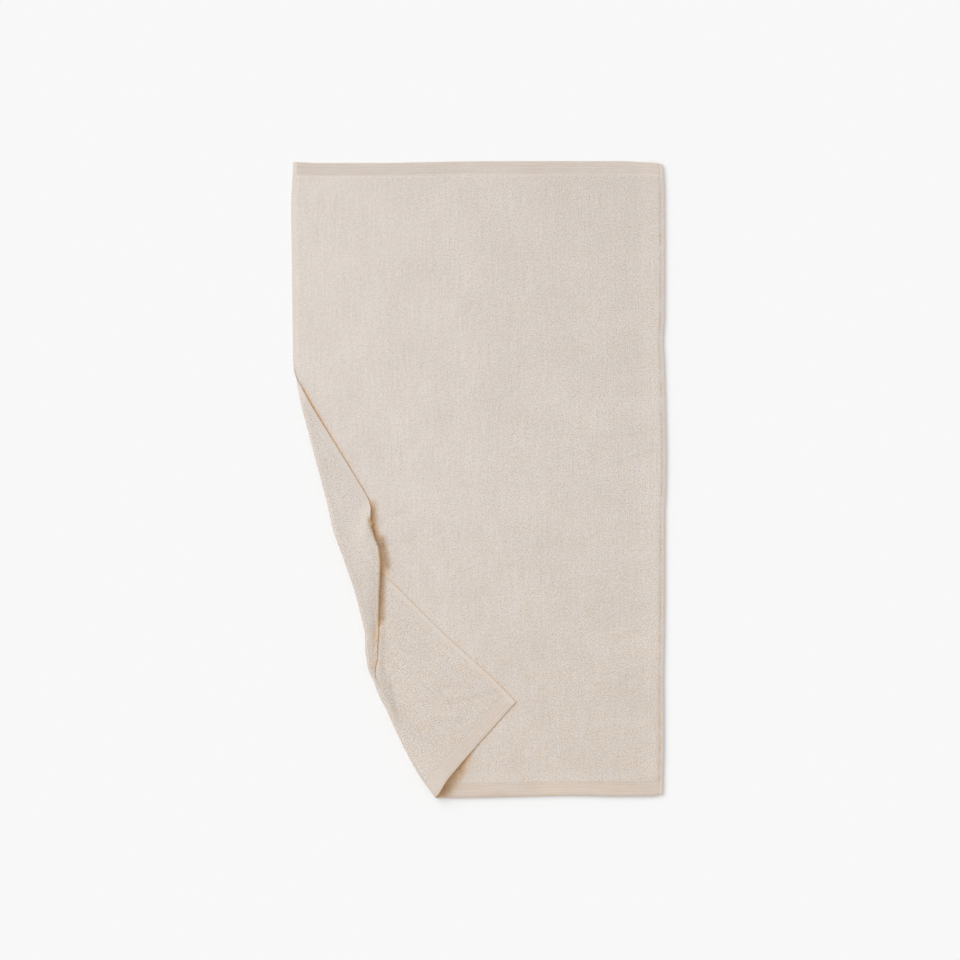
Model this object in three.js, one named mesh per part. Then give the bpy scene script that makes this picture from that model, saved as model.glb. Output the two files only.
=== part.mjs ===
// A terry bath towel that lies on a flat surface, seen from above, in millimetres.
// +X is across the towel, +Y is up its length and +Z is away from the surface it lies on.
// Its lower left corner is turned over to the right in one soft fold, with a small pleat in the
// turned part. The whole cloth is one sheet, so the towel is one closed solid.

import * as THREE from "three";

// Sizes of the cloth
const WIDTH = 700;
const LENGTH = 1200;
const PILE_THICKNESS = 3.2;
const BAND_THICKNESS = 2.2;
const SELVEDGE_THICKNESS = 2.2;
const BAND_WIDTH = 26;
const BAND_STEP = 3;
const SELVEDGE_WIDTH = 8;
const PILE_UNEVENNESS = 0.35;
const TURN = 2 * Math.PI;

// Heights of the middle of the cloth above the surface, layer by layer
const BASE_LEVEL = PILE_THICKNESS / 2;
const FLAP_LEVEL = 5.6;
const LAYER_PITCH = 6.3;
const STACK_RISE = 2 * LAYER_PITCH;

// Where the turned part starts on the left selvedge, and where its fold changes direction.
// All three creases of the pleat run from that second point, the pleat's root.
const HALF_WIDTH = WIDTH / 2;
const HALF_LENGTH = LENGTH / 2;
const FOLD_START_Y = 202;
const ROOT = { x: -181.5, y: -412.5 };
const UPPER_FOLD_ANGLE = Math.atan2(FOLD_START_Y - ROOT.y, ROOT.x + HALF_WIDTH);
const LOWER_FOLD_ANGLE = THREE.MathUtils.degToRad(66.9);
const LIP_ANGLE = THREE.MathUtils.degToRad(90.5);

// The same creases as angles round the root, in the cloth before it is folded
const UPPER_FOLD = Math.PI - UPPER_FOLD_ANGLE;
const LOWER_FOLD = TURN - LOWER_FOLD_ANGLE;
const PLEAT_ANGLE = UPPER_FOLD_ANGLE - LOWER_FOLD_ANGLE;
const LIP_CREASE = 2 * UPPER_FOLD - LIP_ANGLE;
const TUCK_CREASE = LIP_CREASE + PLEAT_ANGLE;
const PLEAT_MIDDLE = LIP_CREASE + PLEAT_ANGLE / 2;

// The fold along its length. x and y are its outer edge as it lies, rise is the height of the
// turned cloth there, crest is how far in it is highest, reach is how far in the rise goes and
// firm how suddenly it ends, soft is the size of the bend, and spread pushes the edge outwards.
const FOLD_ROWS = [
  { y: 225, x: -351, rise: 4, crest: 0, reach: 20, firm: 2, soft: 6, spread: 0 },
  { y: 178, x: -343, rise: 8, crest: 0, reach: 26, firm: 2, soft: 7, spread: 1 },
  { y: 131, x: -333, rise: 10.5, crest: 0, reach: 34, firm: 2, soft: 8, spread: 4 },
  { y: 55, x: -313, rise: 11.5, crest: 0, reach: 42, firm: 2, soft: 8, spread: 5 },
  { y: -39, x: -287.5, rise: 13, crest: 0, reach: 52, firm: 2, soft: 9, spread: 6 },
  { y: -94, x: -271.5, rise: 16, crest: 0, reach: 52, firm: 2, soft: 9, spread: 8.5 },
  { y: -152, x: -254.5, rise: 18, crest: 0, reach: 50, firm: 2, soft: 9, spread: 3.5 },
  { y: -228, x: -231, rise: 18, crest: 0, reach: 42, firm: 2, soft: 9, spread: -1 },
  { y: -285, x: -216.5, rise: 18, crest: 0, reach: 32, firm: 3, soft: 9, spread: 0.5 },
  { y: -332, x: -213, rise: 17.5, crest: 0, reach: 24, firm: 4, soft: 9, spread: 13.5 },
  { y: -354, x: -205.5, rise: 17.2, crest: 0, reach: 22, firm: 4, soft: 9, spread: 15.5 },
  { y: -379, x: -197.5, rise: 17, crest: 0, reach: 21, firm: 4, soft: 9, spread: 12 },
  { y: -436, x: -174, rise: 16, crest: 0, reach: 22, firm: 4, soft: 9, spread: 4.5 },
  { y: -493, x: -147.5, rise: 18, crest: 8, reach: 40, firm: 2, soft: 10, spread: 3.5 },
  { y: -549, x: -117.5, rise: 23, crest: 16, reach: 60, firm: 2, soft: 12, spread: -0.5 },
  { y: -600, x: -82.5, rise: 27, crest: 24, reach: 66, firm: 2, soft: 13, spread: -12 },
];

// The lip of the pleat along its length: push moves it sideways, rise lifts its edge over the
// width given, and droop lets the layer under it sink.
const LIP_ROWS = [
  { y: -30, push: 0, rise: 0, droop: 1, width: 9 },
  { y: -50, push: -6, rise: -4, droop: 1, width: 9 },
  { y: -77, push: -20, rise: -5, droop: 0.9, width: 10 },
  { y: -109, push: -12, rise: -3, droop: 0.5, width: 11 },
  { y: -134, push: -3, rise: -1, droop: 0.1, width: 13 },
  { y: -162, push: -0.5, rise: -1.6, droop: 0, width: 12 },
  { y: -228, push: -4.5, rise: -2, droop: 0, width: 12 },
  { y: -266, push: -5.5, rise: -2, droop: 0, width: 12 },
  { y: -304, push: -3, rise: -2, droop: 0, width: 12 },
  { y: -341, push: 3, rise: -1.6, droop: 0, width: 12 },
  { y: -417, push: 0, rise: 0, droop: 0, width: 12 },
];
const LIP_REACH = 26;
const PLEAT_SOFT = 5.5;
const PLEAT_GROWTH = 140;
const PLEAT_END_REACH = 46;
const TUCK_SPREAD = Math.PI / 3;

// The bend changes from the pleat's size to the fold's over this distance beside the pleat and
// along it from its root, and the fold is steeper on its outer side
const BESIDE_PLEAT = { from: 4, over: 20 };
const ALONG_PLEAT = { from: 20, over: 50 };
const OUTER_STEEPNESS = 0.6;
const SPREAD_REACH = 45;
const PUSHED_LEVEL = { from: 2, over: 7 };

// The pile is pressed thinner where the pleat starts
const PINCH = { x: -212, y: -355, reach: 60, share: 0.5 };

// The turned corner lies a little out of square
const CORNER = { x: 70.5, y: -421 };
const CORNER_SKEW = 0.05;
const SKEW_START_X = -200;
const SKEW_REACH = 150;

// How far each edge stands out from a straight line, at places along it
const LEFT_EDGE = [
  { at: -600, out: 0 },
  { at: -557, out: 0.6 },
  { at: -526, out: 0.3 },
  { at: -496, out: -1.2 },
  { at: -466, out: -2.8 },
  { at: -436, out: -4.4 },
  { at: -405, out: -5.4 },
  { at: -375, out: -5.1 },
  { at: -345, out: -3.8 },
  { at: -315, out: -2 },
  { at: -285, out: 0 },
  { at: -250, out: 1 },
  { at: 180, out: 0 },
  { at: 250, out: 1 },
  { at: 320, out: -1 },
  { at: 420, out: 1 },
  { at: 520, out: 2.5 },
  { at: 600, out: 0.5 },
];
const RIGHT_EDGE = [
  { at: -600, out: -2 },
  { at: -470, out: 0 },
  { at: -380, out: -1 },
  { at: -150, out: 0.5 },
  { at: 0, out: 2 },
  { at: 170, out: 2 },
  { at: 270, out: 0 },
  { at: 430, out: 0.5 },
  { at: 560, out: 0 },
  { at: 600, out: -2 },
];
const TOP_EDGE = [
  { at: -350, out: 0 },
  { at: -300, out: -2 },
  { at: -180, out: -2 },
  { at: -80, out: 0 },
  { at: 30, out: 1.5 },
  { at: 260, out: 1.5 },
  { at: 325, out: -1 },
  { at: 350, out: -5 },
];
const BOTTOM_EDGE = [
  { at: -350, out: 0 },
  { at: -70, out: 1.5 },
  { at: 0, out: 0.5 },
  { at: 90, out: -1.5 },
  { at: 170, out: -3 },
  { at: 260, out: -1.5 },
  { at: 325, out: -1.5 },
  { at: 350, out: -6 },
];
const EDGE_REACH = 90;

// Soft swells in the thickness of the pile: wavelengths across and along, and a phase
const SWELLS = [
  { across: 310, along: 520, phase: 0.4 },
  { across: -190, along: 260, phase: 2.1 },
  { across: 140, along: -430, phase: 4.0 },
];

// The grid: cells are small at the creases and large on the plain cloth
const COLUMNS = 32;
const ROW_BANDS = [
  { to: 250, step: 46 },
  { to: -60, step: 19 },
  { to: -215, step: 8 },
  { to: -430, step: 13 },
  { to: -HALF_LENGTH + BAND_WIDTH + BAND_STEP / 2, step: 16 },
];
const PLAIN_CELL = 70;
const FLAP_CELL = 16;
const CREASE_CELL = 4;
const FOLD_GRID_REACH = 18;
const PLEAT_GRID_REACH = 9;
const SAMPLE_STEP = 2;
const NORMAL_KEEP = 2;
const RESTING_REACH = 3;

// Points spread evenly over a disc, over which the sharp folds are averaged to round them
const DISC_POINTS = 180;
const GOLDEN_ANGLE = Math.PI * (3 - Math.sqrt(5));
const DISC = Array.from({ length: DISC_POINTS }, (_, index) => {
  const radius = Math.sqrt((index + 0.5) / DISC_POINTS);
  const angle = index * GOLDEN_ANGLE;
  return { x: radius * Math.cos(angle), y: radius * Math.sin(angle) };
});

function smooth(value) {
  return THREE.MathUtils.smoothstep(value, 0, 1);
}

function bell(value) {
  return Math.exp(-value * value);
}

// Reads a column of a table at any place, by a curve that doesn't overshoot its rows
function readTable(rows, place, column) {
  const sorted = rows[0][place] < rows[rows.length - 1][place] ? rows : [...rows].reverse();
  const at = sorted.map((row) => row[place]);
  const values = sorted.map((row) => row[column]);
  const last = at.length - 1;
  const slopes = at.slice(1).map((end, i) => (values[i + 1] - values[i]) / (end - at[i]));
  const tangents = at.map((_, i) => {
    if (i === 0) return slopes[0];
    if (i === last) return slopes[last - 1];
    const before = slopes[i - 1];
    const after = slopes[i];
    return before * after <= 0 ? 0 : (2 * before * after) / (before + after);
  });
  return (where) => {
    const x = THREE.MathUtils.clamp(where, at[0], at[last]);
    let i = 0;
    while (i < last - 1 && x > at[i + 1]) i += 1;
    const span = at[i + 1] - at[i];
    const s = (x - at[i]) / span;
    const start = (1 + 2 * s) * (1 - s) ** 2 * values[i] + s * (1 - s) ** 2 * span * tangents[i];
    const end = s * s * (3 - 2 * s) * values[i + 1] - s * s * (1 - s) * span * tangents[i + 1];
    return start + end;
  };
}

const foldColumns = ["x", "rise", "crest", "reach", "firm", "soft", "spread"];
const fold = Object.fromEntries(foldColumns.map((key) => [key, readTable(FOLD_ROWS, "y", key)]));
const lipColumns = ["push", "rise", "droop", "width"];
const lip = Object.fromEntries(lipColumns.map((key) => [key, readTable(LIP_ROWS, "y", key)]));
const edgeTables = [LEFT_EDGE, RIGHT_EDGE, TOP_EDGE, BOTTOM_EDGE];
const [leftEdge, rightEdge, topEdge, bottomEdge] = edgeTables.map((rows) => readTable(rows, "at", "out"));

// Distance and angle of a point of the flat cloth from the pleat's root
function roundRoot(x, y) {
  const far = Math.hypot(x - ROOT.x, y - ROOT.y);
  const turn = Math.atan2(y - ROOT.y, x - ROOT.x);
  return { far, turn: turn < 0 ? turn + TURN : turn };
}

function onCreaseAtSelvedge(crease, lyingAngle) {
  const far = (-HALF_WIDTH - ROOT.x) / Math.cos(crease);
  return { x: ROOT.x + far * Math.cos(lyingAngle), y: ROOT.y + far * Math.sin(lyingAngle) };
}

// The pleat's two ends on the turned selvedge, and the distance of a point past the line through them
const lipEnd = onCreaseAtSelvedge(LIP_CREASE, LIP_ANGLE);
const tuckEnd = onCreaseAtSelvedge(TUCK_CREASE, LIP_ANGLE + PLEAT_ANGLE);
const endLine = new THREE.Vector2(tuckEnd.x - lipEnd.x, tuckEnd.y - lipEnd.y).normalize();

function pastPleatEnd(x, y) {
  return (x - lipEnd.x) * endLine.y - (y - lipEnd.y) * endLine.x;
}

// How far the fold lifts the turned cloth above a layer that lies flat
function foldLift(x, y) {
  const across = Math.sin(LOWER_FOLD_ANGLE);
  const inward = (x - fold.x(y)) * across;
  const footY = y - inward * Math.cos(LOWER_FOLD_ANGLE);
  const fromCrest = Math.max(inward, 0) - fold.crest(footY);
  const steepness = fromCrest < 0 ? OUTER_STEEPNESS : 1;
  const share = Math.exp(-steepness * Math.abs(fromCrest / fold.reach(footY)) ** fold.firm(footY));
  return (fold.rise(footY) - FLAP_LEVEL) * share;
}

// The height of a layer of the turned part: the lowest lies flat under the pleat, the top one is
// held up by the fold or by the layers under it, and the tucked one runs between them.
function flapHeight(point, far, turn, lying) {
  const grown = smooth(far / PLEAT_GROWTH);
  const byFold = foldLift(point.x, point.y);
  const tucked = turn > TUCK_CREASE ? smooth(lying / TUCK_SPREAD) : 1;
  const low = FLAP_LEVEL + byFold * (1 - grown * tucked);
  if (turn > TUCK_CREASE) return low;
  const carried = grown * (1 - smooth(pastPleatEnd(point.x, point.y) / PLEAT_END_REACH));
  const top = FLAP_LEVEL + STACK_RISE * (1 - (1 - carried) * (1 - byFold / STACK_RISE));
  const fromLip = far * Math.sin(Math.abs(turn - LIP_CREASE));
  if (turn > LIP_CREASE) {
    const sunk = bell(fromLip / PLEAT_GRID_REACH) * grown;
    return THREE.MathUtils.lerp(low, top, (1 - lip.droop(point.y)) / 2) - sunk;
  }
  return top + grown * lip.rise(point.y) * bell(fromLip / lip.width(point.y));
}

// Where a point of the flat cloth goes if every crease is sharp. Round the root each part of the
// cloth keeps its distance, and each crease turns the way the angle runs.
function sharplyFolded(x, y) {
  const { far, turn } = roundRoot(x, y);
  if (turn <= UPPER_FOLD || turn >= LOWER_FOLD) return new THREE.Vector3(x, y, BASE_LEVEL);
  let lying = LIP_ANGLE + PLEAT_ANGLE - (turn - TUCK_CREASE);
  if (turn <= LIP_CREASE) lying = 2 * UPPER_FOLD - turn;
  else if (turn <= TUCK_CREASE) lying = LIP_ANGLE + (turn - LIP_CREASE);
  const point = new THREE.Vector3(ROOT.x + far * Math.cos(lying), ROOT.y + far * Math.sin(lying), 0);
  if (turn > TUCK_CREASE) {
    const skewed = smooth((point.x - SKEW_START_X) / SKEW_REACH);
    point.x += CORNER_SKEW * Math.abs(point.y - CORNER.y) * skewed;
  }
  point.z = flapHeight(point, far, turn, lying);
  return point;
}

// The size of the bend near a point: wide along the fold and tight along the pleat
function bendSize(x, y) {
  const { far, turn } = roundRoot(x, y);
  const fromMiddle = THREE.MathUtils.clamp(turn - PLEAT_MIDDLE, -TURN / 4, TURN / 4);
  const fromPleat = far * (Math.abs(Math.sin(fromMiddle)) - Math.sin(PLEAT_ANGLE / 2));
  const beside = smooth((fromPleat - BESIDE_PLEAT.from) / BESIDE_PLEAT.over);
  const wide = Math.max(beside, 1 - smooth((far - ALONG_PLEAT.from) / ALONG_PLEAT.over));
  return THREE.MathUtils.lerp(PLEAT_SOFT, fold.soft(y), wide);
}

// The place of the middle of the cloth, with its folds rounded and its edges moved to their shape
function foldedPoint(x, y) {
  const size = bendSize(x, y);
  const point = new THREE.Vector3();
  for (const spot of DISC) {
    point.add(sharplyFolded(x + size * spot.x, y + size * spot.y));
  }
  point.divideScalar(DISC_POINTS);
  const inward = Math.max(point.x - fold.x(point.y), 0);
  point.x -= fold.spread(point.y) * bell(inward / SPREAD_REACH);
  const lipX = ROOT.x + (point.y - ROOT.y) / Math.tan(LIP_ANGLE);
  const lifted = smooth((point.z - PUSHED_LEVEL.from) / PUSHED_LEVEL.over);
  point.x += lip.push(point.y) * bell((point.x - lipX) / LIP_REACH) * lifted;
  return point;
}

// Moves a point of the flat cloth so that the edges are as uneven as they lie
function unevenEdges(x, y) {
  const nearLeft = smooth(1 - (x + HALF_WIDTH) / EDGE_REACH);
  const nearRight = smooth(1 - (HALF_WIDTH - x) / EDGE_REACH);
  const nearTop = smooth(1 - (HALF_LENGTH - y) / EDGE_REACH);
  const nearBottom = smooth(1 - (y + HALF_LENGTH) / EDGE_REACH);
  return {
    x: x + rightEdge(y) * nearRight - leftEdge(y) * nearLeft,
    y: y + topEdge(x) * nearTop - bottomEdge(x) * nearBottom,
  };
}

// The thickness: pile with soft swells, and thinner flat-woven bands and selvedges
function thickness(x, y) {
  const fromEnd = HALF_LENGTH - Math.abs(y);
  const fromSide = HALF_WIDTH - Math.abs(x);
  const inBand = 1 - smooth((fromEnd - BAND_WIDTH + BAND_STEP / 2) / BAND_STEP);
  const inSelvedge = 1 - smooth(fromSide / SELVEDGE_WIDTH);
  const swell = SWELLS.reduce((sum, wave) => {
    return sum + Math.sin(TURN * (x / wave.across + y / wave.along) + wave.phase);
  }, 0);
  const pile = PILE_THICKNESS - PILE_UNEVENNESS * smooth((swell + SWELLS.length) / (2 * SWELLS.length));
  const sides = THREE.MathUtils.lerp(pile, SELVEDGE_THICKNESS, inSelvedge);
  const pressed = 1 - PINCH.share * bell(Math.hypot(x - PINCH.x, y - PINCH.y) / PINCH.reach);
  return pressed * THREE.MathUtils.lerp(sides, Math.min(sides, BAND_THICKNESS), inBand);
}

// Rows from the top edge down, with a step at each band
function rowPlaces() {
  const bandEdge = HALF_LENGTH - BAND_WIDTH;
  const rows = [HALF_LENGTH, bandEdge + BAND_STEP / 2, bandEdge - BAND_STEP / 2];
  for (const { to, step } of ROW_BANDS) {
    const from = rows[rows.length - 1];
    const count = Math.ceil((from - to) / step);
    for (let i = 1; i <= count; i += 1) rows.push(from + ((to - from) * i) / count);
  }
  rows.push(-bandEdge - BAND_STEP / 2, -HALF_LENGTH);
  return rows;
}

// Where a crease crosses a row of the flat cloth
function creaseX(angle, y) {
  return ROOT.x + (y - ROOT.y) / Math.tan(angle);
}

// Cells for each millimetre wanted at a place, so that the columns gather at the creases
function cellsWanted(x, y) {
  const foldX = creaseX(y > ROOT.y ? UPPER_FOLD : LOWER_FOLD, y);
  const started = smooth((FOLD_START_Y + EDGE_REACH - y) / EDGE_REACH);
  const aboveRoot = smooth((y - ROOT.y) / PLEAT_GROWTH);
  const plain = 1 / PLAIN_CELL + (x < foldX ? started / FLAP_CELL : 0);
  const atCreases = Math.max(
    started * bell((x - foldX) / FOLD_GRID_REACH),
    aboveRoot * bell((x - creaseX(LIP_CREASE, y)) / PLEAT_GRID_REACH),
    aboveRoot * bell((x - creaseX(TUCK_CREASE, y)) / PLEAT_GRID_REACH),
  );
  return plain + atCreases / CREASE_CELL;
}

function columnPlaces(y) {
  const left = -HALF_WIDTH + SELVEDGE_WIDTH;
  const right = HALF_WIDTH - SELVEDGE_WIDTH;
  const steps = Math.round((right - left) / SAMPLE_STEP);
  const places = Array.from({ length: steps + 1 }, (_, i) => left + ((right - left) * i) / steps);
  const totals = [0];
  places.slice(1).forEach((x, i) => {
    totals.push(totals[i] + cellsWanted((x + places[i]) / 2, y));
  });
  const columns = [-HALF_WIDTH];
  let i = 0;
  for (let column = 0; column < COLUMNS; column += 1) {
    const goal = (totals[steps] * column) / (COLUMNS - 1);
    while (i < steps - 1 && totals[i + 1] < goal) i += 1;
    const share = (goal - totals[i]) / (totals[i + 1] - totals[i]);
    columns.push(THREE.MathUtils.lerp(places[i], places[i + 1], share));
  }
  columns.push(HALF_WIDTH);
  return columns;
}

// The middle of the cloth at each point of the grid
function middleGrid(rows) {
  return rows.map((y) => columnPlaces(y).map((x) => {
    const flat = unevenEdges(x, y);
    return { middle: foldedPoint(flat.x, flat.y), half: thickness(x, y) / 2 };
  }));
}

// Which way the upper face of the cloth looks at each point of the grid
function normalGrid(grid) {
  const lastRow = grid.length - 1;
  const lastColumn = grid[0].length - 1;
  return grid.map((row, r) => row.map((_, c) => {
    const left = row[Math.max(c - 1, 0)].middle;
    const right = row[Math.min(c + 1, lastColumn)].middle;
    const above = grid[Math.max(r - 1, 0)][c].middle;
    const below = grid[Math.min(r + 1, lastRow)][c].middle;
    return right.clone().sub(left).cross(above.clone().sub(below)).normalize();
  }));
}

// The same, evened out with the points on either side, so that tight bends stay round
function evenNormals(normals) {
  return normals.map((row, r) => row.map((normal, c) => {
    const sides = [row[c - 1], row[c + 1], normals[r - 1]?.[c], normals[r + 1]?.[c]];
    const sum = normal.clone().multiplyScalar(NORMAL_KEEP);
    sides.filter(Boolean).forEach((side) => sum.add(side));
    return sum.normalize();
  }));
}

// The two faces of the cloth at one point of the grid. Cloth that lies flat rests on the surface.
function skinPoints({ middle, half }, normal) {
  const resting = 1 - smooth((middle.z - BASE_LEVEL) / RESTING_REACH);
  const centre = middle.clone();
  centre.z -= (BASE_LEVEL - half) * resting;
  return {
    top: centre.clone().addScaledVector(normal, half),
    bottom: centre.clone().addScaledVector(normal, -half),
  };
}

function towelGeometry() {
  const middles = middleGrid(rowPlaces());
  const normals = evenNormals(normalGrid(middles));
  const grid = middles.map((row, r) => row.map((point, c) => skinPoints(point, normals[r][c])));
  const across = grid[0].length;
  const down = grid.length;
  const positions = [];
  for (const skin of ["top", "bottom"]) {
    for (const row of grid) {
      for (const cell of row) positions.push(...cell[skin].toArray());
    }
  }
  const triangles = [];
  const top = (r, c) => r * across + c;
  const bottom = (r, c) => down * across + top(r, c);
  const addQuad = (a, b, c, d) => triangles.push(a, b, c, a, c, d);
  for (let r = 0; r < down - 1; r += 1) {
    for (let c = 0; c < across - 1; c += 1) {
      addQuad(top(r, c), top(r + 1, c), top(r + 1, c + 1), top(r, c + 1));
      addQuad(bottom(r, c), bottom(r, c + 1), bottom(r + 1, c + 1), bottom(r + 1, c));
    }
  }
  for (let c = 0; c < across - 1; c += 1) {
    addQuad(top(0, c), top(0, c + 1), bottom(0, c + 1), bottom(0, c));
    addQuad(top(down - 1, c + 1), top(down - 1, c), bottom(down - 1, c), bottom(down - 1, c + 1));
  }
  for (let r = 0; r < down - 1; r += 1) {
    addQuad(top(r + 1, 0), top(r, 0), bottom(r, 0), bottom(r + 1, 0));
    addQuad(top(r, across - 1), top(r + 1, across - 1), bottom(r + 1, across - 1), bottom(r, across - 1));
  }
  const geometry = new THREE.BufferGeometry();
  geometry.setAttribute("position", new THREE.Float32BufferAttribute(positions, 3));
  geometry.setIndex(triangles);
  geometry.computeBoundingBox();
  const middle = geometry.boundingBox.getCenter(new THREE.Vector3());
  geometry.translate(-middle.x, -middle.y, -geometry.boundingBox.min.z);
  geometry.computeVertexNormals();
  return geometry;
}

const cotton = new THREE.MeshStandardMaterial({ color: 0xdacfc4, roughness: 0.95, metalness: 0 });
const towel = new THREE.Mesh(towelGeometry(), cotton);
towel.name = "towel";

const model = new THREE.Group();
model.add(towel);

export default model;
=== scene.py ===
"""Dresses the bath towel that lies flat with its lower left corner turned over.

The towel is one sheet of cotton terry with flat-woven hems and selvedges. Its sheet is folded
nearly as its solid is, on a finer grid: its tables follow the photo's outline and creases a few
millimetres closer, and TurnedCorner.place says where its rule differs. Sizes are in millimetres in
the photo's frame, with +X across the towel, +Y up its length and +Z towards the camera, and become
metres where a mesh is made. The lights and the camera are placed in metres.
"""

from __future__ import annotations

import logging
import math
from dataclasses import dataclass, field
from enum import Enum
from typing import Sequence

import bpy
import numpy as np
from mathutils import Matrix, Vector
from mathutils.bvhtree import BVHTree

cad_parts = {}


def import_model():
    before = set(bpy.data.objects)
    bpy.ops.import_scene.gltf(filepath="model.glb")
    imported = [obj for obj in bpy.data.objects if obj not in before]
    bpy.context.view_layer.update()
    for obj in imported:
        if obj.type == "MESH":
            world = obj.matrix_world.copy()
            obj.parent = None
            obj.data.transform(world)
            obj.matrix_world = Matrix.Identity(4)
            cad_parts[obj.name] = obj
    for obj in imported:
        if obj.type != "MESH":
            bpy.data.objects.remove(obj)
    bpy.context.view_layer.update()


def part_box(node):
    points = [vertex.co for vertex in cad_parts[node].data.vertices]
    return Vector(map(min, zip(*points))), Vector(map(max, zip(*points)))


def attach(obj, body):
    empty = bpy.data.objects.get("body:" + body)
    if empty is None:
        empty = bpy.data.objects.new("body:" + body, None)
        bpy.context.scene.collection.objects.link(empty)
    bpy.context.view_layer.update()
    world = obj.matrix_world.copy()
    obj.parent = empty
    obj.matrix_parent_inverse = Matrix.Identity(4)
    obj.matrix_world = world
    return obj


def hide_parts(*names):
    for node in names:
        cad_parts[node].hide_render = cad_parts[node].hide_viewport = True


Array = np.ndarray
Colour = tuple[float, float, float, float]
Sockets = dict[int | str, object]
LOG = logging.getLogger("towel")
MM = 0.001
TURN = 2 * math.pi
GOLDEN_ANGLE = math.pi * (3 - math.sqrt(5))
CLOTH_MAP = "cloth"
BAKE_MAP = "OFBake"
BAKE_GAP = 0.01
TOUCHING = 1e-6
SIDEWAYS_HINT = (0.0, 1.0, 0.1)
# Layers that the mesh carries: painted shade where the cloth's own folds keep the light off and
# where it faces away from the light, painted light and shade from the marks and along the fold, the
# turned part, and the marks' painted shade in deep hollows.
PAINTED_SHADE_LAYER = "painted_shade"
PAINTED_LIGHT_AND_TONE_LAYER = "tone"
TURNED_LAYER = "turned"
SHADE_LAYER = "shade"


def smooth(value: Array | float) -> Array:
    """Returns a soft step from 0 to 1 as value goes from 0 to 1."""
    held = np.clip(value, 0.0, 1.0)
    return held * held * (3 - 2 * held)


def bell(value: Array | float) -> Array:
    """Returns a bell curve that is 1 at 0."""
    return np.exp(-np.square(value))


def blend(first: Array | float, second: Array | float, share: Array | float) -> Array:
    """Returns first where share is 0 and second where it is 1."""
    return first + (second - first) * share


def unit(vectors: Array) -> Array:
    """Returns vectors, along the last axis, with a length of 1."""
    return vectors / np.linalg.norm(vectors, axis=-1, keepdims=True)


def neighbours(grid: Array, axis: int) -> tuple[Array, Array]:
    """Finds what is beside each value of a grid, with the values at its ends repeated.

    Args:
        grid: the values.
        axis: the axis to step along.

    Returns:
        The next values and the ones before, each of the grid's shape.
    """
    wide = np.pad(grid, [(int(k == axis),) * 2 for k in range(grid.ndim)], mode="edge")
    count = grid.shape[axis]
    return wide.take(range(2, count + 2), axis), wide.take(range(count), axis)


def add_object(name: str, data: bpy.types.ID) -> bpy.types.Object:
    """Adds an object to the scene.

    Args:
        name: its name.
        data: its mesh, light or camera.

    Returns:
        The object, at the origin.
    """
    made = bpy.data.objects.new(name, data)
    bpy.context.collection.objects.link(made)
    return made


class Skin(Enum):
    """The two faces of the cloth, by the side that they are on before it is folded."""

    UPPER = 1
    UNDER = -1


@dataclass(frozen=True)
class FoldRow:
    """The fold at one place along its length, in mm.

    x and y are its outer edge as it lies, rise is the height of the turned cloth, crest is how
    far in it is highest, reach is how far in the rise goes, firm is how suddenly it ends, soft is
    the size of the bend and spread pushes the edge outwards.
    """

    y: float
    x: float
    rise: float
    reach: float
    soft: float
    spread: float
    crest: float = 0
    firm: float = 2


@dataclass(frozen=True)
class LipRow:
    """The pleat's lip at one place, in mm.

    push moves it sideways, rise lifts its edge over the width given, and droop lets the layer
    under it sink.
    """

    y: float
    push: float
    rise: float
    width: float
    droop: float = 0


@dataclass(frozen=True)
class EdgeRow:
    """How far an edge stands out from a straight line at one place along it, in mm."""

    at: float
    out: float


class Layer(Enum):
    """The part of the cloth that a mark is on."""

    BASE = "base"
    TURNED = "turned"


@dataclass(frozen=True)
class Mark:
    """A soft crease or patch of the cloth as it lies, from one point to another, in mm.

    height lifts the cloth, press draws its layers that share of the way to level, shade paints the
    darkness of a deep hollow into its colour, and tone makes its colour lighter, mostly as painted
    light (painted shade where it is below 0).
    """

    x0: float
    y0: float
    x1: float
    y1: float
    width: float
    height: float = 0
    shade: float = 0
    tone: float = 0
    press: float = 0
    level: float = 0

    def share(self, x: Array, y: Array) -> Array:
        """Returns 1 along the mark's line, which fades out over its width.

        Args:
            x: where the cloth lies, across.
            y: where the cloth lies, along.

        Returns:
            The mark's share at each point.
        """
        across, along = self.x1 - self.x0, self.y1 - self.y0
        on_line = ((x - self.x0) * across + (y - self.y0) * along) / max(across**2 + along**2, 1.0)
        on_line = np.clip(on_line, 0.0, 1.0)
        away = np.hypot(x - self.x0 - on_line * across, y - self.y0 - on_line * along)
        return bell(away / self.width)


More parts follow.
